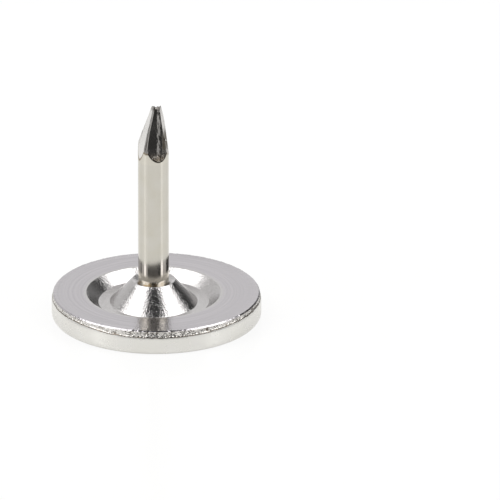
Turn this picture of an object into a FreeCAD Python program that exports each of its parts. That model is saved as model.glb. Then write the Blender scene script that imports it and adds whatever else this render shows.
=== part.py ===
"""Upholstery tack: a round head blanked from steel sheet, with a wire pin gripped in its middle.

Millimetres. The tack stands on its head: the brushed face lies in the plane z = 0 with the disc's
centre at the origin, and the pin points up along +Z.
"""
import FreeCAD, Part
import math
import os

# Blanked disc, with the edge that blanking leaves: rolled at the face, torn at the underside
head_dia = 10.2
sheet = 1.2
edge_roll_height = 0.22
edge_roll_inset = 0.10
torn_height = 0.35
torn_inset = 0.07

# Groove pressed into the underside round the boss
groove_depth = 0.50
groove_floor_width = 0.55
groove_wall_angle = 40.0
shoulder_radius = 0.08
wall_root_radius = 0.08

# Boss that the press raises round the pin, with a dished lip against the wire
boss_rise = 0.68
boss_angle = 47.5
boss_root_radius = 0.10
lip_width = 0.30
lip_edge_radius = 0.05
dish_depth = 0.15

# The press struck this blank a little off its centre, towards -X
press_offset = 0.14

# Wire pin: its foot stands on the web left under the blind hole, and the boss squeezes the wire to a
# slight waist between the foot and the lip
overall_height = 10.9
shank_dia = 1.5
web = 0.45
foot_length = 0.40
foot_chamfer = 0.10
grip_squeeze = 0.03
hole_clearance = 0.0

# Facets of the point, one for each cutting jaw, and the narrow band where two jaws leave a gap:
# direction that the facet looks in (degrees from +X, seen from above), its length along the pin,
# its distance from the pin's axis at the tip, and how far it is hollowed in the middle
front_jaw = (-66.0, 2.68, 0.18, 0.14)
left_jaw = (-166.0, 2.62, -0.05, 0.01)
back_jaw = (110.0, 2.60, 0.16, 0.10)
right_jaw = (18.0, 1.95, 0.34, 0.03)
jaw_gap = (-119.0, 2.18, 0.12, 0.02)
facets = (front_jaw, left_jaw, back_jaw, right_jaw, jaw_gap)

# Reach of a cutting shape beyond the surface that it cuts
overshoot = 1.0

# Worked out from the sizes above
head_r = head_dia / 2
shank_r = shank_dia / 2
waist_r = shank_r - grip_squeeze
lip_r = shank_r + lip_width
lip_z = sheet + boss_rise
dish_z = lip_z - dish_depth
foot_z = web + foot_length
waist_z = (foot_z + lip_z) / 2
groove_floor_z = sheet - groove_depth
boss_base_r = lip_r + (boss_rise + groove_depth) / math.tan(math.radians(boss_angle))
groove_floor_r = boss_base_r + groove_floor_width
groove_rim_r = groove_floor_r + groove_depth / math.tan(math.radians(groove_wall_angle))
press_axis = FreeCAD.Vector(-press_offset, 0, 0)


def point(r, z):
    """A place in the half plane of a turned outline."""
    return FreeCAD.Vector(r, 0, z)


def rounded(before, corner, after, radius):
    """The arc that rounds a corner, limited by its two sides: its start, middle and end."""
    back = before - corner
    ahead = after - corner
    slope = math.tan(back.getAngle(ahead) / 2)
    reach = min(radius / slope, back.Length / 2, ahead.Length / 2)
    to_centre = math.hypot(reach, reach * slope)
    back.normalize()
    ahead.normalize()
    inward = (back + ahead).normalize()
    return corner + back * reach, corner + inward * (to_centre - reach * slope), corner + ahead * reach


def outline(stations):
    """A closed face through places and arcs, joined by straight lines."""
    spans = [station if isinstance(station, tuple) else (station,) for station in stations]
    edges = []
    for number, span in enumerate(spans):
        following = spans[(number + 1) % len(spans)]
        if len(span) == 3:
            edges.append(Part.Arc(*span).toShape())
        edges.append(Part.LineSegment(span[-1], following[0]).toShape())
    return Part.Face(Part.Wire(edges))


def turned(face):
    """The solid that a face in the half plane sweeps round the Z axis."""
    return face.revolve(FreeCAD.Vector(0, 0, 0), FreeCAD.Vector(0, 0, 1), 360)


def edge_roll():
    """The arc from the face's crisp edge up to the side wall, which it meets smoothly."""
    radius = (edge_roll_height ** 2 + edge_roll_inset ** 2) / (2 * edge_roll_inset)
    half_turn = math.asin(edge_roll_height / radius) / 2
    middle = point(
        head_r - radius * (1 - math.cos(half_turn)),
        edge_roll_height - radius * math.sin(half_turn),
    )
    return point(head_r - edge_roll_inset, 0), middle, point(head_r, edge_roll_height)


def blank():
    """The disc as it is sheared from the sheet."""
    return turned(outline([
        point(0, 0),
        edge_roll(),
        point(head_r, sheet - torn_height),
        point(head_r - torn_inset, sheet),
        point(0, sheet),
    ]))


def pressed_pocket():
    """What the press pushes down: a flat floor and a sloping wall up to the underside."""
    axis_floor = point(0, groove_floor_z)
    wall_foot = point(groove_floor_r, groove_floor_z)
    rim = point(groove_rim_r, sheet)
    flat = point(head_r + overshoot, sheet)
    shoulder = rounded(wall_foot, rim, flat, shoulder_radius)
    top = sheet + overshoot
    return turned(outline([
        axis_floor,
        rounded(axis_floor, wall_foot, rim, wall_root_radius),
        shoulder,
        point(shoulder[2].x, top),
        point(0, top),
    ]))


def boss():
    """The cone that stands on the pocket's floor, up to a lip that dips towards the wire."""
    floor_side = point(groove_floor_r, groove_floor_z)
    base = point(boss_base_r, groove_floor_z)
    lip = point(lip_r, lip_z)
    dish = point(waist_r + hole_clearance, dish_z)
    return turned(outline([
        point(0, groove_floor_z),
        rounded(floor_side, base, lip, boss_root_radius),
        rounded(base, lip, dish, lip_edge_radius),
        dish,
        point(0, dish_z),
    ]))


def wire(gap):
    """The turned wire with its foot and waist, or with a gap added all round, the hole it sits in."""
    return turned(outline([
        point(0, web),
        point(shank_r + gap - foot_chamfer, web),
        point(shank_r + gap, web + foot_chamfer),
        point(shank_r + gap, foot_z),
        point(waist_r + gap, waist_z),
        point(shank_r + gap, lip_z),
        point(shank_r + gap, overall_height),
        point(0, overall_height),
    ]))


def head():
    """The blank with its pressed pocket, the boss and the blind hole that closed round the pin."""
    pocket = pressed_pocket()
    cone = boss()
    hole = wire(hole_clearance)
    for shape in (pocket, cone, hole):
        shape.translate(press_axis)
    return blank().cut(pocket).fuse(cone).cut(hole).removeSplitter()


def facet_cut(direction, length, tip_distance, hollow):
    """The shape that a jaw takes off the wire: one long, slightly hollow facet."""
    start = point(shank_r, overall_height - length)
    tip = point(tip_distance, overall_height)
    chord = tip - start
    inward = FreeCAD.Vector(-chord.z, 0, chord.x).normalize()
    middle = (start + tip) * 0.5 + inward * hollow
    outside = shank_r + overshoot
    top = overall_height + overshoot
    face = outline([
        (start, middle, tip),
        point(tip_distance, top),
        point(outside, top),
        point(outside, start.z),
    ])
    face.translate(FreeCAD.Vector(0, -outside, 0))
    cutter = face.extrude(FreeCAD.Vector(0, 2 * outside, 0))
    cutter.rotate(FreeCAD.Vector(0, 0, 0), FreeCAD.Vector(0, 0, 1), direction)
    return cutter


def pin():
    """The wire from its chamfered foot in the head to the point that the jaws cut."""
    pointed = wire(0).cut([facet_cut(*facet) for facet in facets])
    pointed.translate(press_axis)
    return pointed


def main():
    os.makedirs("parts", exist_ok=True)
    for name, shape in (("head", head()), ("pin", pin())):
        solid = shape.Solids[0]
        box = solid.BoundBox
        print(name, "solids", len(shape.Solids), "valid", solid.isValid(),
              "volume", round(solid.Volume, 3), "z", round(box.ZMin, 3), round(box.ZMax, 3))
        solid.exportStep("parts/" + name + ".step")


main()
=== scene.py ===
"""The looks of an upholstery tack standing on its brushed head, point up."""
import math

import bpy
from mathutils import Matrix, Vector


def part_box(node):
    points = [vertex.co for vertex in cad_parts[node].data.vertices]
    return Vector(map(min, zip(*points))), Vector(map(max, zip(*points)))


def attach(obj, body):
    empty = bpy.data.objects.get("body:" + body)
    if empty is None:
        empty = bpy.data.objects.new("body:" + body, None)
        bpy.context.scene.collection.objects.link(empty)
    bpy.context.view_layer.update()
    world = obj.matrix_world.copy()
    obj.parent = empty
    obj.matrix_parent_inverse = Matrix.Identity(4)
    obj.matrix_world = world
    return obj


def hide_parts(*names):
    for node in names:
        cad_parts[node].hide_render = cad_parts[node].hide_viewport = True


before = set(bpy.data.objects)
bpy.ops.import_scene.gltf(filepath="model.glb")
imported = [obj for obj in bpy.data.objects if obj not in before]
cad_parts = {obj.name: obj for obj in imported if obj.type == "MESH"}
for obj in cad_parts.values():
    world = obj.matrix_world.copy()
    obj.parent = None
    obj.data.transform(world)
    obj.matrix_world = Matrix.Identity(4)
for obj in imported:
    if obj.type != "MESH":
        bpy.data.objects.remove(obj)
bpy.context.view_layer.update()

mm = 0.001
degree = math.pi / 180

# Sizes read from the frame
_, head_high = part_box("head")
pin_low, pin_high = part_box("pin")
head_r = head_high.x
shank_r = (pin_high.y - pin_low.y) / 2
press_x = (pin_high.x + pin_low.x) / 2
tip_z = pin_high.z
web_z = pin_low.z

# Head: sheared edge. The torn band is tallest round the front, out to the first of two turns, and
# narrower past the second
sheet = 1.2 * mm
edge_roll_height = 0.22 * mm
edge_roll_inset = 0.10 * mm
torn_height = 0.35 * mm
torn_height_at_sides = 0.25 * mm
torn_turns = (15 * degree, 50 * degree)
torn_inset = 0.07 * mm
tear_rise = 0.09 * mm
tear_margin = 0.03 * mm

# Head: the flat's bevelled edge, and the lumps along it, which grow towards the sides
bevel = 0.055 * mm
bevel_lean = 0.01 * mm
lump_turns = (40 * degree, 60 * degree)
lumps_at_sides = 1.4

# Head: pressed groove and boss
groove_depth = 0.50 * mm
groove_floor_width = 0.55 * mm
groove_wall_angle = 40 * degree
shoulder_radius = 0.08 * mm
wall_root_radius = 0.08 * mm
boss_rise = 0.68 * mm
boss_angle = 47.5 * degree
boss_root_radius = 0.10 * mm
lip_width = 0.30 * mm
lip_edge_radius = 0.05 * mm
dish_depth = 0.15 * mm
grip_squeeze = 0.03 * mm
foot_length = 0.40 * mm
foot_chamfer = 0.10 * mm

# Pin: facets that the cutting jaws leave, as direction, length, distance from the wire's axis at
# the tip, and hollow
front_jaw = (-66.5 * degree, 2.64 * mm, 0.18 * mm, 0.105 * mm)
left_jaw = (-157.5 * degree, 2.70 * mm, 0.055 * mm, -0.065 * mm)
back_jaw = (111 * degree, 2.60 * mm, 0.15 * mm, 0.09 * mm)
right_jaw = (-9.5 * degree, 2.45 * mm, 0.315 * mm, 0.03 * mm)
jaw_gap = (-117 * degree, 2.27 * mm, 0.10 * mm, -0.02 * mm)
jaws = (front_jaw, left_jaw, back_jaw, right_jaw, jaw_gap)
jaws_begin_z = tip_z - 2.68 * mm
tip_centre_x = 0.19 * mm

# Pin: the knob of metal pushed up beside the front facet
burr_turn = -22 * degree
burr_z = 9.25 * mm
burr_radius = 0.13 * mm
burr_height = 0.11 * mm

# Pin: across the front facet, the stretch that tears instead of smearing, and across the tip, the
# dip in its top
torn_streak = (0.012 * mm, 0.225 * mm)
tip_dip = (-0.06 * mm, 0.19 * mm)

# Pin: where the front facet's foot is stained, where the strip beside the torn streak is scuffed,
# and how far below the tip the dark end begins and is full
foot_stain_z = (8.45 * mm, 8.75 * mm)
foot_stain_x = (-0.35 * mm, -0.3 * mm)
scuff_past_streak = (0.03 * mm, 0.1 * mm)
scuff_begins_z = (8.6 * mm, 8.9 * mm)
scuff_ends_z = (9.4 * mm, 9.8 * mm)
dark_end = (0.22 * mm, 0.1 * mm)

# Pin: the share of a facet's length over which its streaks set in, the depth at which a cut is
# full, and how far below the tip its top turns ragged
streaks_set_in = 0.12
full_cut = 0.03 * mm
ragged_end = 0.3 * mm

# How finely the pieces are divided, and the gap that is closed at their seams
head_turns = 960
pin_turns = 288
seam_gap = 1e-7

# Finishes, by the number that the outlines carry
BRUSHED, BURNISHED, TORN, PRESSED, WIRE, CUT = range(6)

# Colours used more than once
burnished_tone = (0.77, 0.76, 0.73)
# a painted highlight, on left-facing facets and the knob's top
painted_highlight_tone = (0.86, 0.85, 0.83)
# painted shade round the knob, and the dark end of the tip
ring_and_tip_dark = (0.13, 0.115, 0.10)


# Short words for building node trees

def add(tree, kind, inputs=(), out=0, **settings):
    """A new node with its settings and inputs, given back as one of its output sockets."""
    made = tree.nodes.new(kind)
    for name, value in settings.items():
        setattr(made, name, value)
    for key, value in dict(inputs).items():
        if isinstance(value, bpy.types.NodeSocket):
            tree.links.new(value, made.inputs[key])
        else:
            made.inputs[key].default_value = value
    return made.outputs[out]


def calc(tree, operation, a, b=0.0, c=0.0):
    """A Math node."""
    return add(tree, "ShaderNodeMath", {0: a, 1: b, 2: c}, operation=operation)


def product(tree, first, *others):
    """Numbers multiplied in their order."""
    for other in others:
        first = calc(tree, "MULTIPLY", first, other)
    return first


def total(tree, first, *others):
    """Numbers added in their order."""
    for other in others:
        first = calc(tree, "ADD", first, other)
    return first


def less(tree, value, taken):
    """One number less another."""
    return calc(tree, "SUBTRACT", value, taken)


def greater(tree, a, b):
    """The greater of two numbers."""
    return calc(tree, "MAXIMUM", a, b)


def smaller(tree, a, b):
    """The smaller of two numbers."""
    return calc(tree, "MINIMUM", a, b)


def mixed_grain(tree, coarse, fine, share):
    """Two grains added, the first with its share and the second with the rest."""
    return total(tree, product(tree, coarse, share), product(tree, fine, 1 - share))


def from_axis(tree, x, y):
    """The distance from the Z axis."""
    return calc(tree, "SQRT", total(tree, product(tree, x, x), product(tree, y, y)))


def turn_from_front(tree, x, y):
    """The turn from the front of the tack, in radians, positive to the right."""
    return calc(tree, "ARCTAN2", x, product(tree, y, -1.0))


def vector(tree, operation, a, **inputs):
    """A Vector Math node that gives a vector."""
    return add(tree, "ShaderNodeVectorMath", {0: a, **inputs}, operation=operation)


def parts_of(tree, source):
    """The x, y and z of a vector."""
    split = tree.nodes.new("ShaderNodeSeparateXYZ")
    tree.links.new(source, split.inputs[0])
    return split.outputs


def joined(tree, x, y, z):
    """A vector from three numbers."""
    return add(tree, "ShaderNodeCombineXYZ", {0: x, 1: y, 2: z})


def spread(tree, value, low, high, to_low=0.0, to_high=1.0, smooth=False):
    """Maps a stretch of values onto another, held at its ends."""
    kind = "SMOOTHSTEP" if smooth else "LINEAR"
    inputs = {
        "Value": value, "From Min": low, "From Max": high, "To Min": to_low, "To Max": to_high,
    }
    return add(tree, "ShaderNodeMapRange", inputs, interpolation_type=kind)


def fading(tree, value, low, high, **how):
    """1 below a stretch of values and 0 above it."""
    return spread(tree, value, low, high, 1.0, 0.0, **how)


def grain(tree, place, scale, detail=2.0, rough=0.5, seed=0.0):
    """Noise from 0 to 1 at a place, with a fixed seed."""
    inputs = {"Vector": place, "W": seed, "Scale": scale, "Detail": detail, "Roughness": rough}
    return add(tree, "ShaderNodeTexNoise", inputs, noise_dimensions="4D")


# Outlines in the half plane of radius and height

def rounded(before, corner, after, radius, steps):
    """Places along the arc that rounds a corner."""
    back = (before - corner).normalized()
    ahead = (after - corner).normalized()
    slope = math.tan(back.angle(ahead) / 2)
    reach = radius / slope
    centre = corner + (back + ahead).normalized() * math.hypot(reach, radius)
    first = corner + back * reach - centre
    last = corner + ahead * reach - centre
    turn = first.angle_signed(last)
    return [centre + Matrix.Rotation(-turn * step / steps, 2) @ first for step in range(steps + 1)]


def line(start, end, steps):
    """Places along a straight stretch, without its end."""
    return [start.lerp(end, step / steps) for step in range(steps)]


def edge_roll(steps):
    """Places along the arc from the face's crisp edge up to the side wall."""
    radius = (edge_roll_height ** 2 + edge_roll_inset ** 2) / (2 * edge_roll_inset)
    whole = math.asin(edge_roll_height / radius)
    places = []
    for step in range(steps + 1):
        turn = whole * (1 - step / steps)
        drop = edge_roll_height - radius * math.sin(turn)
        places.append(Vector((head_r - radius * (1 - math.cos(turn)), drop)))
    return places


def head_outline():
    """Stations from the face's middle to the hole's floor: place, finish, pull to press axis."""
    floor_z = sheet - groove_depth
    lip = Vector((shank_r + lip_width, sheet + boss_rise))
    dish = Vector((shank_r - grip_squeeze, sheet + boss_rise - dish_depth))
    boss_foot = Vector((lip.x + (boss_rise + groove_depth) / math.tan(boss_angle), floor_z))
    wall_foot = Vector((boss_foot.x + groove_floor_width, floor_z))
    rim = Vector((wall_foot.x + groove_depth / math.tan(groove_wall_angle), sheet))
    flat_edge = Vector((head_r - torn_inset, sheet))
    torn_edge = Vector((head_r, sheet - torn_height))
    floor_middle = (boss_foot + wall_foot) / 2

    shoulder = rounded(flat_edge, rim, wall_foot, shoulder_radius, 6)
    bevel_low = flat_edge + Vector((bevel_lean, -bevel))
    bevel_high = flat_edge + Vector((-bevel, 0))
    wall_root = rounded(rim, wall_foot, floor_middle, wall_root_radius, 5)
    boss_root = rounded(floor_middle, boss_foot, lip, boss_root_radius, 5)
    lip_edge = rounded(boss_foot, lip, dish, lip_edge_radius, 5)
    roll = edge_roll(6)

    stations = []

    def lay(places, finish, pull):
        stations.extend((place, finish, pull) for place in places)

    lay(line(Vector((0, 0)), roll[0], 8), BRUSHED, 0)
    lay(roll[:1], BURNISHED, 0)
    lay(roll[1:-1], BURNISHED, 0)
    lay(line(roll[-1], torn_edge, 5), BURNISHED, 0)
    lay(line(torn_edge, bevel_low, 17), TORN, 0)
    lay(line(bevel_low, bevel_high, 4), PRESSED, 0)
    flat_width = bevel_high.x - shoulder[0].x
    for place in line(bevel_high, shoulder[0], 8):
        stations.append((place, PRESSED, (bevel_high.x - place.x) / flat_width))
    lay(shoulder[:-1], PRESSED, 1)
    lay(line(shoulder[-1], wall_root[0], 5), PRESSED, 1)
    lay(wall_root, PRESSED, 1)
    lay(boss_root[:-1], PRESSED, 1)
    lay(line(boss_root[-1], lip_edge[0], 8), PRESSED, 1)
    lay(lip_edge, PRESSED, 1)
    lay([dish, Vector((dish.x, web_z)), Vector((0, web_z))], PRESSED, 1)
    return stations


def pin_outline():
    """Stations from the foot to the tip: share of the radius with height, finish, no pull."""
    facets_z = jaws_begin_z - 0.1 * mm
    waist = 1 - grip_squeeze / shank_r
    foot_z = web_z + foot_length
    lip_z = sheet + boss_rise
    foot = [Vector((0, web_z)), Vector((1 - foot_chamfer / shank_r, web_z))]
    foot += [Vector((1, web_z + foot_chamfer)), Vector((1, foot_z))]
    places = foot + [Vector((waist, (foot_z + lip_z) / 2))]
    places += line(Vector((1, lip_z)), Vector((1, facets_z)), 40)
    stations = [(place, WIRE, 0) for place in places]
    end = line(Vector((1, facets_z)), Vector((1, tip_z)), 230)
    end += [Vector((share, tip_z)) for share in (1, 0.75, 0.5, 0.25, 0)]
    return stations + [(place, CUT, 0) for place in end]


def outline_mesh(name, stations):
    """A chain of points for an outline: radius in x, height in z, finish and pull as attributes."""
    mesh = bpy.data.meshes.new(name)
    places = [(place.x, 0, place.y) for place, _, _ in stations]
    edges = [(number, number + 1) for number in range(len(places) - 1)]
    mesh.from_pydata(places, edges, [])
    finish = mesh.attributes.new("finish", "INT", "POINT")
    finish.data.foreach_set("value", [kind for _, kind, _ in stations])
    pull = mesh.attributes.new("pull", "FLOAT", "POINT")
    pull.data.foreach_set("value", [towards for _, _, towards in stations])
    return mesh


# Geometry node trees

def named(tree, name, kind="FLOAT"):
    """An attribute read by name."""
    return add(tree, "GeometryNodeInputNamedAttribute", {"Name": name}, data_type=kind)


def sampled(tree, geometry, value, index, kind="FLOAT"):
    """A value of the outline at one of its stations."""
    inputs = {"Geometry": geometry, "Value": value, "Index": index}
    return add(tree, "GeometryNodeSampleIndex", inputs, data_type=kind, domain="POINT")


def stored(tree, geometry, name, value, kind="FLOAT", domain="POINT"):
    """A value kept on the mesh under a name."""
    inputs = {"Geometry": geometry, "Name": name, "Value": value}
    return add(tree, "GeometryNodeStoreNamedAttribute", inputs, data_type=kind, domain=domain)


def moved(tree, geometry, **how):
    """The geometry with its points at a new position, or shifted by an offset."""
    return add(tree, "GeometryNodeSetPosition", {"Geometry": geometry, **how})


def new_tree(name, sizes):
    """An empty geometry tree with named inputs for its sizes."""
    tree = bpy.data.node_groups.new(name, "GeometryNodeTree")
    tree.interface.new_socket("Outline", in_out="INPUT", socket_type="NodeSocketGeometry")
    for size, kind in sizes:
        tree.interface.new_socket(size, in_out="INPUT", socket_type=kind)
    tree.interface.new_socket("Piece", in_out="OUTPUT", socket_type="NodeSocketGeometry")
    given = tree.nodes.new("NodeGroupInput")
    return tree, {socket.name: socket for socket in given.outputs if socket.name}


def laid_round(tree, outline, turns):
    """A grid with one row for each station and one column for each turn, with its fields."""
    counted = add(tree, "GeometryNodeAttributeDomainSize", {0: outline}, component="MESH")
    columns = total(tree, turns, 1)
    grid = add(tree, "GeometryNodeMeshGrid", {"Vertices X": columns, "Vertices Y": counted})
    index = add(tree, "GeometryNodeInputIndex")
    row = calc(tree, "MODULO", index, counted)
    column = calc(tree, "FLOOR", calc(tree, "DIVIDE", index, counted))
    angle = product(tree, calc(tree, "DIVIDE", column, turns), 2 * math.pi)
    face_row = calc(tree, "MODULO", index, less(tree, counted, 1))
    finish = sampled(tree, outline, named(tree, "finish", "INT"), face_row, "INT")
    grid = stored(tree, grid, "finish", finish, "INT", "FACE")
    place = sampled(tree, outline, add(tree, "GeometryNodeInputPosition"), row, "FLOAT_VECTOR")
    pull = sampled(tree, outline, named(tree, "pull"), row)
    grid = stored(tree, grid, "angle", angle)
    grid = stored(tree, grid, "pull", pull)
    return moved(tree, grid, Position=place)


def finished(tree, geometry, materials):
    """Closes seams and poles, shades smoothly and gives each finish its material."""
    closed = add(tree, "GeometryNodeMergeByDistance", {"Geometry": geometry, "Distance": seam_gap})
    shaped = add(tree, "GeometryNodeSetShadeSmooth", {"Geometry": closed})
    whole = add(tree, "GeometryNodeRealizeInstances", {0: shaped})
    for kind, material in materials.items():
        same = add(
            tree, "FunctionNodeCompare", {2: named(tree, "finish", "INT"), 3: kind},
            data_type="INT", operation="EQUAL",
        )
        inputs = {"Geometry": whole, "Selection": same, "Material": material}
        whole = add(tree, "GeometryNodeSetMaterial", inputs)
    out = tree.nodes.new("NodeGroupOutput")
    tree.links.new(whole, out.inputs[0])


def made_by(tree, name, outline, sizes):
    """Runs a tree over an outline with its sizes and gives back the plain mesh as an object."""
    piece = bpy.data.objects.new(name, outline)
    bpy.context.scene.collection.objects.link(piece)
    modifier = piece.modifiers.new("shape", "NODES")
    modifier.node_group = tree
    for socket in tree.interface.items_tree:
        if socket.in_out == "INPUT" and socket.name in sizes:
            modifier[socket.identifier] = sizes[socket.name]
    graph = bpy.context.evaluated_depsgraph_get()
    mesh = bpy.data.meshes.new_from_object(piece.evaluated_get(graph))
    piece.modifiers.clear()
    piece.data = mesh
    mesh.set_sharp_from_angle(angle=35 * degree)
    return piece


def torn_foot(tree, x, y):
    """The height at which the torn band begins: lowest at the front, higher towards both sides."""
    turn = calc(tree, "ABSOLUTE", turn_from_front(tree, x, y))
    return spread(
        tree, turn, *torn_turns, sheet - torn_height, sheet - torn_height_at_sides, smooth=True,
    )


def head_tree(materials):
    """Turns the head's outline round the disc and tears the band that the punch breaks off."""
    tree, given = new_tree("turned_head", [
        ("Turns", "NodeSocketInt"),
        ("Press offset", "NodeSocketFloat"),
        ("Tear depth", "NodeSocketFloat"),
        ("Tear grain", "NodeSocketFloat"),
        ("Burr height", "NodeSocketFloat"),
        ("Seed", "NodeSocketFloat"),
    ])
    grid = laid_round(tree, given["Outline"], given["Turns"])
    place = add(tree, "GeometryNodeInputPosition")
    r, _, z = parts_of(tree, place)
    angle = named(tree, "angle")
    middle = product(tree, named(tree, "pull"), given["Press offset"])
    x = total(tree, product(tree, r, calc(tree, "COSINE", angle)), middle)
    y = product(tree, r, calc(tree, "SINE", angle))
    turned = moved(tree, grid, Position=joined(tree, x, y, z))

    x, y, z = parts_of(tree, place)
    reach = from_axis(tree, x, y)
    outer = calc(tree, "GREATER_THAN", reach, head_r - torn_inset - tear_margin)
    rise = spread(tree, less(tree, z, torn_foot(tree, x, y)), 0.0, tear_rise, smooth=True)
    fall = spread(tree, z, sheet - bevel - tear_margin, sheet - bevel, 1.0, 0.2)
    band = product(tree, outer, rise, fall)
    coarse_scale = product(tree, given["Tear grain"], 0.35)
    coarse = grain(tree, place, coarse_scale, 3.0, 0.6, given["Seed"])
    fine = grain(tree, place, given["Tear grain"], 2.0, 0.7, given["Seed"])
    chips = spread(tree, mixed_grain(tree, coarse, fine, 0.6), 0.32, 0.68)
    depth = product(tree, chips, band, given["Tear depth"])
    outward = vector(tree, "NORMALIZE", joined(tree, x, y, 0.0))
    shift = vector(tree, "SCALE", outward, Scale=product(tree, depth, -1))
    torn = stored(tree, moved(tree, turned, Offset=shift), "chips", chips)

    edge_r = head_r - torn_inset
    on_edge = spread(tree, reach, edge_r - 2 * bevel, edge_r - bevel)
    on_edge = product(tree, on_edge, spread(tree, z, sheet - 1.2 * bevel, sheet - bevel))
    lump_scale = product(tree, given["Tear grain"], 0.6)
    lumps = spread(tree, grain(tree, place, lump_scale, 2.0, 0.6, 11.0), 0.4, 0.7)
    turn = calc(tree, "ABSOLUTE", turn_from_front(tree, x, y))
    growth = spread(tree, turn, *lump_turns, 1.0, lumps_at_sides)
    rise = product(tree, lumps, growth, given["Burr height"], on_edge)
    finished(tree, moved(tree, torn, Offset=joined(tree, 0.0, 0.0, rise)), materials)
    return tree


def jaw_reach(tree, jaw, z, angle, centre_x, streak_depth, seed):
    """How far from the moving middle of the wire one jaw's facet lies, in each direction.

    The jaw bites steeply and then runs straight, and drags streaks along its cut. The hollow is
    deepest at a third of the facet's length, where along * (1 - along) ** 2 is 4 / 27.
    """
    direction, length, tip_distance, hollow = jaw
    along = calc(tree, "DIVIDE", less(tree, z, tip_z - length), length)
    plain = calc(tree, "MULTIPLY_ADD", along, tip_distance - shank_r, shank_r)
    left = less(tree, 1.0, along)
    dip = product(tree, left, left, greater(tree, along, 0.0), 27 / 4 * hollow)
    distance = less(tree, plain, dip)
    distance = less(tree, distance, product(tree, centre_x, math.cos(direction)))
    away = less(tree, angle, direction)
    facing = greater(tree, calc(tree, "COSINE", away), 0.02)
    across = product(tree, calc(tree, "DIVIDE", distance, facing), calc(tree, "SINE", away))
    across = smaller(tree, greater(tree, across, -shank_r), shank_r)
    place = joined(tree, across, product(tree, z, 0.05), direction * mm)
    broad = spread(tree, grain(tree, place, 3200.0, 1.0, 0.5, seed), 0.3, 0.7)
    fine = grain(tree, place, 11000.0, 3.0, 0.65, seed)
    streaks = mixed_grain(tree, broad, fine, 0.65)
    bitten = spread(tree, along, 0.0, streaks_set_in)
    distance = less(tree, distance, product(tree, streaks, bitten, streak_depth))
    return calc(tree, "DIVIDE", distance, facing)


def burr_share(tree, z, angle):
    """1 in the middle of the knob beside the front facet, down to 0 at its rim."""
    past = calc(tree, "WRAP", less(tree, angle, burr_turn), math.pi, -math.pi)
    aside = joined(tree, product(tree, past, shank_r), less(tree, z, burr_z), 0.0)
    away = add(tree, "ShaderNodeVectorMath", {0: aside}, operation="LENGTH", out="Value")
    return fading(tree, away, 0.0, burr_radius, smooth=True)


def tip_drop(tree, x, y, z, raggedness, seed):
    """How far the top of the tip falls short of its height: a dip across it, and a ragged rim."""
    ragged = grain(tree, joined(tree, x, y, 0.0), 9000.0, 2.0, 0.6, seed)
    ragged = spread(tree, ragged, 0.35, 0.65)
    low, high = tip_dip
    dip = product(
        tree, spread(tree, x, low - 0.03 * mm, low + 0.03 * mm),
        fading(tree, x, high - 0.03 * mm, high + 0.02 * mm),
    )
    near_tip = spread(tree, z, tip_z - ragged_end, tip_z)
    return product(tree, mixed_grain(tree, dip, ragged, 0.6), near_tip, raggedness)


def pin_tree(materials):
    """Turns the wire and presses its end onto the facets of the jaws, streaked along the cut."""
    tree, given = new_tree("pointed_wire", [
        ("Turns", "NodeSocketInt"),
        ("Ridge softness", "NodeSocketFloat"),
        ("Streak depth", "NodeSocketFloat"),
        ("Tip raggedness", "NodeSocketFloat"),
        ("Seed", "NodeSocketFloat"),
    ])
    seed = given["Seed"]
    grid = laid_round(tree, given["Outline"], given["Turns"])
    share, _, z = parts_of(tree, add(tree, "GeometryNodeInputPosition"))
    angle = named(tree, "angle")
    centre_x = product(tree, spread(tree, z, jaws_begin_z, tip_z), tip_centre_x)
    sideways = product(tree, centre_x, calc(tree, "COSINE", angle))
    inside = less(tree, product(tree, sideways, sideways), product(tree, centre_x, centre_x))
    round_reach = less(tree, calc(tree, "SQRT", total(tree, inside, shank_r ** 2)), sideways)
    reach = round_reach
    for jaw in jaws:
        facet = jaw_reach(tree, jaw, z, angle, centre_x, given["Streak depth"], seed)
        reach = calc(tree, "SMOOTH_MIN", reach, facet, given["Ridge softness"])
    cut = spread(tree, less(tree, round_reach, reach), 0.0, full_cut)

    burr = burr_share(tree, z, angle)
    reach = smaller(tree, total(tree, reach, product(tree, burr, burr_height)), round_reach)
    reach = product(tree, reach, share)
    x = calc(tree, "MULTIPLY_ADD", reach, calc(tree, "COSINE", angle), centre_x)
    x = total(tree, x, press_x)
    y = product(tree, reach, calc(tree, "SINE", angle))
    drop = tip_drop(tree, x, y, z, given["Tip raggedness"], seed)
    shaped = stored(tree, stored(tree, grid, "cut", cut), "burr", burr)
    shaped = moved(tree, shaped, Position=joined(tree, x, y, less(tree, z, drop)))
    finished(tree, shaped, materials)
    return tree


# Finishes

def new_metal(name, colour, roughness):
    """A bare metal material with its tree, shader and object coordinates."""
    material = bpy.data.materials.new(name)
    material.use_nodes = True
    tree = material.node_tree
    shader = tree.nodes["Principled BSDF"]
    shader.inputs["Metallic"].default_value = 1.0
    shader.inputs["Base Color"].default_value = (*colour, 1.0)
    shader.inputs["Roughness"].default_value = roughness
    place = add(tree, "ShaderNodeTexCoord", out="Object")
    return material, tree, shader, place


def bumped(tree, shader, height, distance, strength=1.0, normal=None):
    """Links a height to the shader as bump."""
    inputs = {"Height": height, "Distance": distance, "Strength": strength}
    if normal is not None:
        inputs["Normal"] = normal
    made = add(tree, "ShaderNodeBump", inputs)
    tree.links.new(made, shader.inputs["Normal"])
    return made


def blend_colour(tree, factor, first, second):
    """A colour between two."""
    made = tree.nodes.new("ShaderNodeMix")
    made.data_type = "RGBA"
    tree.links.new(factor, made.inputs["Factor"])
    for key, value in ((6, first), (7, second)):
        if isinstance(value, bpy.types.NodeSocket):
            tree.links.new(value, made.inputs[key])
        else:
            made.inputs[key].default_value = (*value, 1.0)
    return made.outputs[2]


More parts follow.
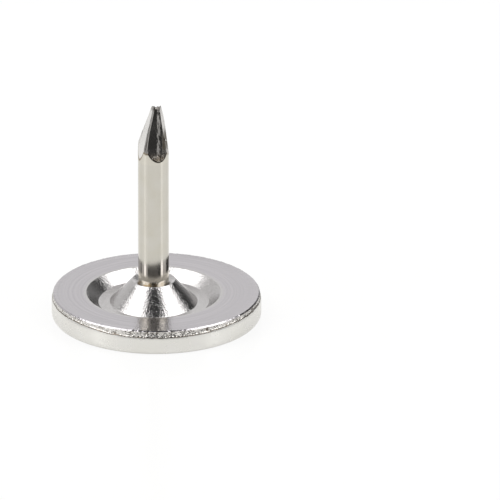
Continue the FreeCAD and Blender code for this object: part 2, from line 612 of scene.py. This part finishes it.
def stretched(tree, place, scale, turn=0.0):
    """A place turned about Z and scaled, so that a grain of scale 1 is drawn out along one axis."""
    inputs = {"Vector": place, "Rotation": (0, 0, turn), "Scale": scale}
    return add(tree, "ShaderNodeMapping", inputs)


def marked(tree, name):
    """A value that the piece's mesh carries under a name."""
    return add(tree, "ShaderNodeAttribute", attribute_name=name, out="Fac")


def brushed_face():
    """The outer face: long straight scratches, all one way, light and dark."""
    material, tree, shader, place = new_metal("brushed_face", (0.66, 0.64, 0.645), 0.3)
    dark, light = (0.62, 0.60, 0.605), (0.83, 0.81, 0.81)
    brushing = 36 * degree
    fine = grain(tree, stretched(tree, place, (500, 14000, 1), brushing), 1.0, 3.0, 0.65, 1.0)
    long = grain(tree, stretched(tree, place, (180, 3500, 1), brushing), 1.0, 3.0, 0.6, 5.0)
    lines = mixed_grain(tree, fine, long, 0.5)
    tone = blend_colour(tree, spread(tree, lines, 0.35, 0.65), dark, light)
    tree.links.new(tone, shader.inputs["Base Color"])
    tree.links.new(spread(tree, fine, 0.3, 0.7, 0.38, 0.24), shader.inputs["Roughness"])
    bumped(tree, shader, lines, 0.004 * mm, 0.6)
    return material


def burnished_wall():
    """The side wall that the die smooths: satin, a little warm, with faint marks down the shear."""
    material, tree, shader, place = new_metal("burnished_wall", burnished_tone, 0.26)
    dark, light = (0.75, 0.74, 0.70), (0.79, 0.78, 0.75)
    x, y, z = parts_of(tree, place)
    angle = calc(tree, "ARCTAN2", y, x)
    round_x = product(tree, calc(tree, "COSINE", angle), 30.0)
    round_y = product(tree, calc(tree, "SINE", angle), 30.0)
    marks_place = joined(tree, round_x, round_y, product(tree, z, 700.0))
    marks = grain(tree, marks_place, 4.0, 2.0, 0.6, 2.0)
    clouds = grain(tree, place, 900.0, 2.0, 0.5, 3.0)
    tone = blend_colour(tree, spread(tree, clouds, 0.3, 0.7), dark, light)
    tree.links.new(tone, shader.inputs["Base Color"])
    tree.links.new(spread(tree, clouds, 0.3, 0.7, 0.22, 0.32), shader.inputs["Roughness"])
    bumped(tree, shader, marks, 0.002 * mm, 0.5)
    return material


def torn_edge():
    """The broken band: crystals that glint, with painted shade, dark brown, in their hollows and
    along its lower edge.
    """
    material, tree, shader, place = new_metal("torn_edge", (0.6, 0.57, 0.53), 0.16)
    # crystal is the metal's own tone; brown is painted shade for the chips' hollows and the band's
    # lower edge
    crystal, brown = (0.74, 0.72, 0.69), (0.17, 0.14, 0.11)
    chips = marked(tree, "chips")
    crystals = grain(tree, place, 9500.0, 2.0, 0.6, 4.0)
    x, y, z = parts_of(tree, place)
    wander = grain(tree, place, 3000.0, 2.0, 0.6, 12.0)
    wander = spread(tree, wander, 0.3, 0.7, -0.02 * mm, 0.03 * mm)
    above = total(tree, less(tree, z, torn_foot(tree, x, y)), wander)
    inside = spread(tree, above, 0.0, 0.012 * mm)
    # painted shade: dark brown along the band's lower edge and in the deepest chips
    lower_edge_shade = fading(tree, above, 0.03 * mm, 0.06 * mm)
    hollow = greater(tree, spread(tree, chips, 0.5, 0.85), lower_edge_shade)
    broken = blend_colour(tree, hollow, crystal, brown)
    tone = blend_colour(tree, inside, burnished_tone, broken)
    tree.links.new(tone, shader.inputs["Base Color"])
    tree.links.new(spread(tree, inside, 0.0, 1.0, 0.26, 0.16), shader.inputs["Roughness"])
    bumped(tree, shader, product(tree, crystals, inside), 0.05 * mm, 1.0)
    return material


def pressed_underside():
    """The satin flat with faint turned rings, and the groove and boss that the press grains."""
    material, tree, shader, place = new_metal("pressed_underside", (0.46, 0.44, 0.455), 0.1)
    ring_dark, ring_light = (0.432, 0.415, 0.43), (0.498, 0.476, 0.493)
    pit_dark, pit_light = (0.45, 0.435, 0.43), (0.535, 0.52, 0.515)
    shine = spread(tree, marked(tree, "pull"), 0.9, 1.0)
    x, y, _ = parts_of(tree, place)
    across = product(tree, from_axis(tree, x, y), 8000.0)
    rings_place = joined(tree, across, product(tree, x, 260.0), 0.0)
    rings = spread(tree, grain(tree, rings_place, 1.0, 2.0, 0.6, 6.0), 0.3, 0.7)
    flat_tone = blend_colour(tree, rings, ring_dark, ring_light)
    pits = grain(tree, place, 14500.0, 1.0, 0.5, 13.0)
    grained_tone = blend_colour(tree, spread(tree, pits, 0.3, 0.6), pit_dark, pit_light)
    tone = blend_colour(tree, shine, flat_tone, grained_tone)
    tree.links.new(tone, shader.inputs["Base Color"])
    tree.links.new(spread(tree, shine, 0.0, 1.0, 0.17, 0.13), shader.inputs["Roughness"])
    ripple = bumped(tree, shader, rings, 0.002 * mm, 0.5)
    peel = spread(tree, shine, 0.0, 1.0, 0.35, 1.0)
    peel = product(tree, spread(tree, pits, 0.35, 0.9), peel)
    bumped(tree, shader, peel, 0.0085 * mm, 1.0, ripple)
    return material


def drawn_wire():
    """The shank: smooth plated wire, a little yellow, with the die's faint lines along it, and
    brown at its foot beside the lip.
    """
    material, tree, shader, place = new_metal("drawn_wire", (0.61, 0.59, 0.53), 0.12)
    dark, light, lip_brown = (0.575, 0.55, 0.485), (0.60, 0.58, 0.53), (0.32, 0.25, 0.15)
    lip_z = sheet + boss_rise
    lines = grain(tree, stretched(tree, place, (24000, 24000, 300)), 1.0, 2.0, 0.6, 8.0)
    clouds = grain(tree, place, 1300.0, 2.0, 0.5, 9.0)
    tone = blend_colour(tree, spread(tree, clouds, 0.3, 0.7), dark, light)
    x, _, z = parts_of(tree, place)
    # brown spots just above the lip, and a brown tinge that fades up the shank
    spots = spread(tree, grain(tree, place, 5000.0, 2.0, 0.6, 14.0), 0.42, 0.56)
    at_lip = fading(tree, z, lip_z, lip_z + 0.14 * mm)
    at_lip = product(tree, at_lip, spread(tree, x, 0.0, 0.4 * mm, 1.0, 0.4))
    tinge = spread(tree, z, lip_z + 0.1 * mm, lip_z + 0.9 * mm, 0.5, 0.0)
    lip_browning = greater(tree, product(tree, spots, at_lip), product(tree, tinge, clouds))
    tone = blend_colour(tree, lip_browning, tone, lip_brown)
    tree.links.new(tone, shader.inputs["Base Color"])
    bumped(tree, shader, lines, 0.0006 * mm, 0.3)
    return material


def sheared_point():
    """The facets: bright metal smeared along the cut, and on the front one a stretch that tore; a
    painted highlight on left-facing facets and on the knob's top, and painted shade on front-facing
    facets and round the knob.
    """
    material, tree, shader, place = new_metal("sheared_point", (0.57, 0.55, 0.53), 0.2)
    # front is painted shade for the facets that face the front
    uncut, front, brown = (0.61, 0.585, 0.52), (0.24, 0.225, 0.21), (0.28, 0.23, 0.17)
    dark, light, scuff = (0.46, 0.44, 0.42), (0.66, 0.64, 0.615), (0.15, 0.13, 0.10)
    fade = 0.05 * mm
    cut = marked(tree, "cut")
    x, y, z = parts_of(tree, place)
    streaks = grain(tree, stretched(tree, place, (16000, 16000, 1100)), 1.0, 3.0, 0.6, 10.0)

    low, high = torn_streak
    inside = product(
        tree, spread(tree, x, low, low + fade), fading(tree, x, high - fade, high),
    )
    in_front = product(tree, calc(tree, "LESS_THAN", y, 0.0), cut)
    torn = product(tree, inside, in_front, spread(tree, streaks, 0.4, 0.55))

    smeared = blend_colour(tree, spread(tree, streaks, 0.3, 0.7), dark, light)
    # painted highlight on facets that face left and painted shade on those that face the front, set
    # by the surface's facing
    facing_x, facing_y, _ = parts_of(tree, add(tree, "ShaderNodeTexCoord", out="Normal"))
    left_facing_highlight = fading(tree, facing_x, -0.7, -0.5)
    forward = product(tree, fading(tree, facing_y, -0.85, -0.7), less(tree, 1.0, torn))
    smeared = blend_colour(tree, product(tree, left_facing_highlight, 0.65), smeared, painted_highlight_tone)
    smeared = blend_colour(tree, product(tree, forward, 0.5), smeared, front)
    tone = blend_colour(tree, cut, uncut, smeared)

    edge = product(tree, spread(tree, cut, 0.05, 0.3), fading(tree, cut, 0.5, 0.95))
    foot = product(
        tree, spread(tree, z, *foot_stain_z, 0.95, 0.0), spread(tree, streaks, 0.45, 0.6, 1.0, 0.5),
        in_front, spread(tree, x, *foot_stain_x),
    )
    tone = blend_colour(tree, greater(tree, edge, foot), tone, brown)

    scuff_low, scuff_high = scuff_past_streak
    scuffed = product(
        tree, spread(tree, z, *scuff_begins_z), fading(tree, z, *scuff_ends_z),
        spread(tree, x, high + scuff_low, high + scuff_high), cut,
        spread(tree, streaks, 0.3, 0.6, 0.6, 1.0),
    )
    tone = blend_colour(tree, scuffed, tone, scuff)

    # painted shade as a dark ring round the knob, and a painted highlight on its top
    burr = marked(tree, "burr")
    tone = blend_colour(tree, spread(tree, burr, 0.02, 0.3, 0.0, 0.9), tone, ring_and_tip_dark)
    tone = blend_colour(tree, spread(tree, burr, 0.45, 0.75), tone, painted_highlight_tone)
    end_begins, end_full = dark_end
    tip = product(
        tree, spread(tree, z, tip_z - end_begins, tip_z - end_full),
        spread(tree, streaks, 0.4, 0.55, 0.95, 0.6),
    )
    tone = blend_colour(tree, tip, tone, ring_and_tip_dark)
    tree.links.new(tone, shader.inputs["Base Color"])

    smooth = spread(tree, cut, 0.0, 1.0, 0.12, 0.16)
    rough = product(tree, greater(tree, torn, scuffed), 0.42)
    tree.links.new(total(tree, smooth, rough), shader.inputs["Roughness"])
    bumped(tree, shader, product(tree, streaks, cut), 0.014 * mm, 0.8)
    return material


# Pieces

def make_head():
    """The head, in place of its node."""
    materials = {
        BRUSHED: brushed_face(),
        BURNISHED: burnished_wall(),
        TORN: torn_edge(),
        PRESSED: pressed_underside(),
    }
    sizes = {
        "Turns": head_turns, "Press offset": press_x, "Tear depth": 0.075 * mm,
        "Tear grain": 12000.0, "Burr height": 0.014 * mm, "Seed": 3.0,
    }
    outline = outline_mesh("head_outline", head_outline())
    piece = made_by(head_tree(materials), "tack_head", outline, sizes)
    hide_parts("head")
    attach(piece, "root")


def make_pin():
    """The pin, in place of its node."""
    materials = {WIRE: drawn_wire(), CUT: sheared_point()}
    sizes = {
        "Turns": pin_turns, "Ridge softness": 0.03 * mm, "Streak depth": 0.035 * mm,
        "Tip raggedness": 0.11 * mm, "Seed": 5.0,
    }
    outline = outline_mesh("pin_outline", pin_outline())
    piece = made_by(pin_tree(materials), "tack_pin", outline, sizes)
    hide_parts("pin")
    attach(piece, "root")


# Studio

photo_side = 500
px_per_mm = 20.55
head_centre_px = (156.5, 314.6)
lens = 1600.0
sensor = 36.0
elevation = 22.3 * degree

# The card that the tack stands on, and how white it looks to the camera and in the metal
card_x, card_y, card_r = -25 * mm, 30 * mm, 75 * mm
card_drop = 0.002 * mm
white_to_camera = 0.87
white_in_metal = 0.6

# Panels of light round the tack: how bright, whether one stands at each side, and then in degrees
# the stretch round the tack from the front to the right, the stretch above the table and the soft
# edge. Room and backdrop have only the last three.
room = ((-9, 190), (-90, 100), 1)
room_tone = 0.06
backdrop = ((161, 200), (-40, 80), 3)
left_softbox = (3.3, False, (-119, -42), (38, 74), 3)
right_softbox = (3.3, False, (51, 119), (38, 74), 3)
low_left = (1.1, False, (-100, -44), (12, 40), 4)
low_right = (1.1, False, (55, 108), (12, 38), 5)
lamp_rims = (4.5, True, (59, 74), (16, 30), 4)
front_wall = (0.2, True, (-9, 38), (10, 40), 7)
gap_light = (0.8, False, (-76, -45), (-16, 14), 3)
ceiling = (0.9, True, (-9, 190), (78, 100), 5)
canopy = (0.95, True, (117, 190), (42, 100), 5)
left_fill = (1.25, False, (-163, -111), (-40, -4), 4)
left_wall = (0.85, False, (-163, -111), (-14, 45), 4)
right_back = (0.25, False, (138, 160), (-2, 34), 5)
studio_panels = (
    left_softbox, right_softbox, low_left, low_right, lamp_rims, gap_light, front_wall,
    ceiling, canopy, left_fill, left_wall, right_back,
    (1.0, True, *backdrop),
)


def make_camera():
    """A long lens at the photograph's angle, aimed beside the tack as the photograph is framed."""
    forward = Vector((0, math.cos(elevation), -math.sin(elevation)))
    up = Vector((0, math.sin(elevation), math.cos(elevation)))
    distance = lens / sensor * photo_side / px_per_mm * mm
    right_by = (photo_side / 2 - head_centre_px[0]) / px_per_mm * mm
    up_by = (head_centre_px[1] - photo_side / 2) / px_per_mm * mm
    aim = Vector((right_by, 0, 0)) + up * up_by
    data = bpy.data.cameras.new("camera")
    data.lens = lens
    data.sensor_width = sensor
    data.clip_start = 0.05
    data.clip_end = 5.0
    camera = bpy.data.objects.new("camera", data)
    camera.location = aim - forward * distance
    camera.rotation_euler = (math.pi / 2 - elevation, 0, 0)
    bpy.context.scene.collection.objects.link(camera)
    bpy.context.scene.camera = camera


def make_floor():
    """A plain white card that shows only a faint shadow, and lets the tack be seen from below."""
    mesh = bpy.data.meshes.new("card")
    turns = [turn * degree for turn in range(0, 360, 5)]
    rim = []
    for turn in turns:
        rim.append((card_x + card_r * math.cos(turn), card_y + card_r * math.sin(turn), 0))
    mesh.from_pydata(rim, [], [range(len(rim))])
    material = bpy.data.materials.new("white_card")
    material.use_nodes = True
    tree = material.node_tree
    shader = tree.nodes["Principled BSDF"]
    shader.inputs["Base Color"].default_value = (0.9, 0.89, 0.86, 1)
    shader.inputs["Roughness"].default_value = 0.14
    seen = tree.nodes.new("ShaderNodeLightPath").outputs
    white = add(tree, "ShaderNodeEmission", {"Color": (1, 1, 1, 1), "Strength": 1.0})
    share = product(tree, seen["Is Camera Ray"], white_to_camera)
    share = calc(tree, "MULTIPLY_ADD", seen["Is Glossy Ray"], white_in_metal, share)
    mixed = add(tree, "ShaderNodeMixShader", {0: share, 1: shader.outputs[0], 2: white})
    below = add(tree, "ShaderNodeNewGeometry", out="Backfacing")
    clear = add(tree, "ShaderNodeBsdfTransparent")
    whole = add(tree, "ShaderNodeMixShader", {0: below, 1: mixed, 2: clear})
    tree.links.new(whole, tree.nodes["Material Output"].inputs["Surface"])
    mesh.materials.append(material)
    card = bpy.data.objects.new("card", mesh)
    card.location.z = -card_drop
    bpy.context.scene.collection.objects.link(card)


def panel(tree, turn, height, turns, heights, soft):
    """1 inside a stretch of directions round the tack and above the table, 0 outside, softly."""
    sides = []
    for value, (low, high) in ((turn, turns), (height, heights)):
        sides.append(spread(tree, value, low - soft, low + soft, smooth=True))
        sides.append(fading(tree, value, high - soft, high + soft, smooth=True))
    return product(tree, *sides)


def make_world():
    """The studio round the tack: white backdrop, softboxes at the sides and a dim room in front."""
    world = bpy.data.worlds.new("studio")
    bpy.context.scene.world = world
    world.use_nodes = True
    tree = world.node_tree
    tree.nodes.clear()
    x, y, z = parts_of(tree, add(tree, "ShaderNodeTexCoord", out="Generated"))
    turn = product(tree, turn_from_front(tree, x, y), 1 / degree)
    height = product(tree, calc(tree, "ARCSINE", z), 1 / degree)
    away = calc(tree, "ABSOLUTE", turn)
    tone = product(tree, panel(tree, away, height, *room), room_tone)
    for radiance, across, turns, heights, soft in studio_panels:
        one = panel(tree, away if across else turn, height, turns, heights, soft)
        tone = greater(tree, tone, product(tree, one, radiance))
    behind = panel(tree, away, height, *backdrop)
    white = (1, 1, 1, 1)
    studio = add(tree, "ShaderNodeBackground", {"Color": white, "Strength": tone})
    shown = add(tree, "ShaderNodeBackground", {"Color": white, "Strength": 1.0})
    seen = tree.nodes.new("ShaderNodeLightPath").outputs
    mirrored = greater(tree, seen["Is Glossy Ray"], seen["Is Transmission Ray"])
    share = greater(tree, seen["Is Camera Ray"], product(tree, mirrored, behind))
    whole = add(tree, "ShaderNodeMixShader", {0: share, 1: studio, 2: shown})
    out = tree.nodes.new("ShaderNodeOutputWorld")
    tree.links.new(whole, out.inputs["Surface"])


make_head()
make_pin()
make_floor()
make_world()
make_camera()
bpy.context.scene.view_settings.view_transform = "Standard"
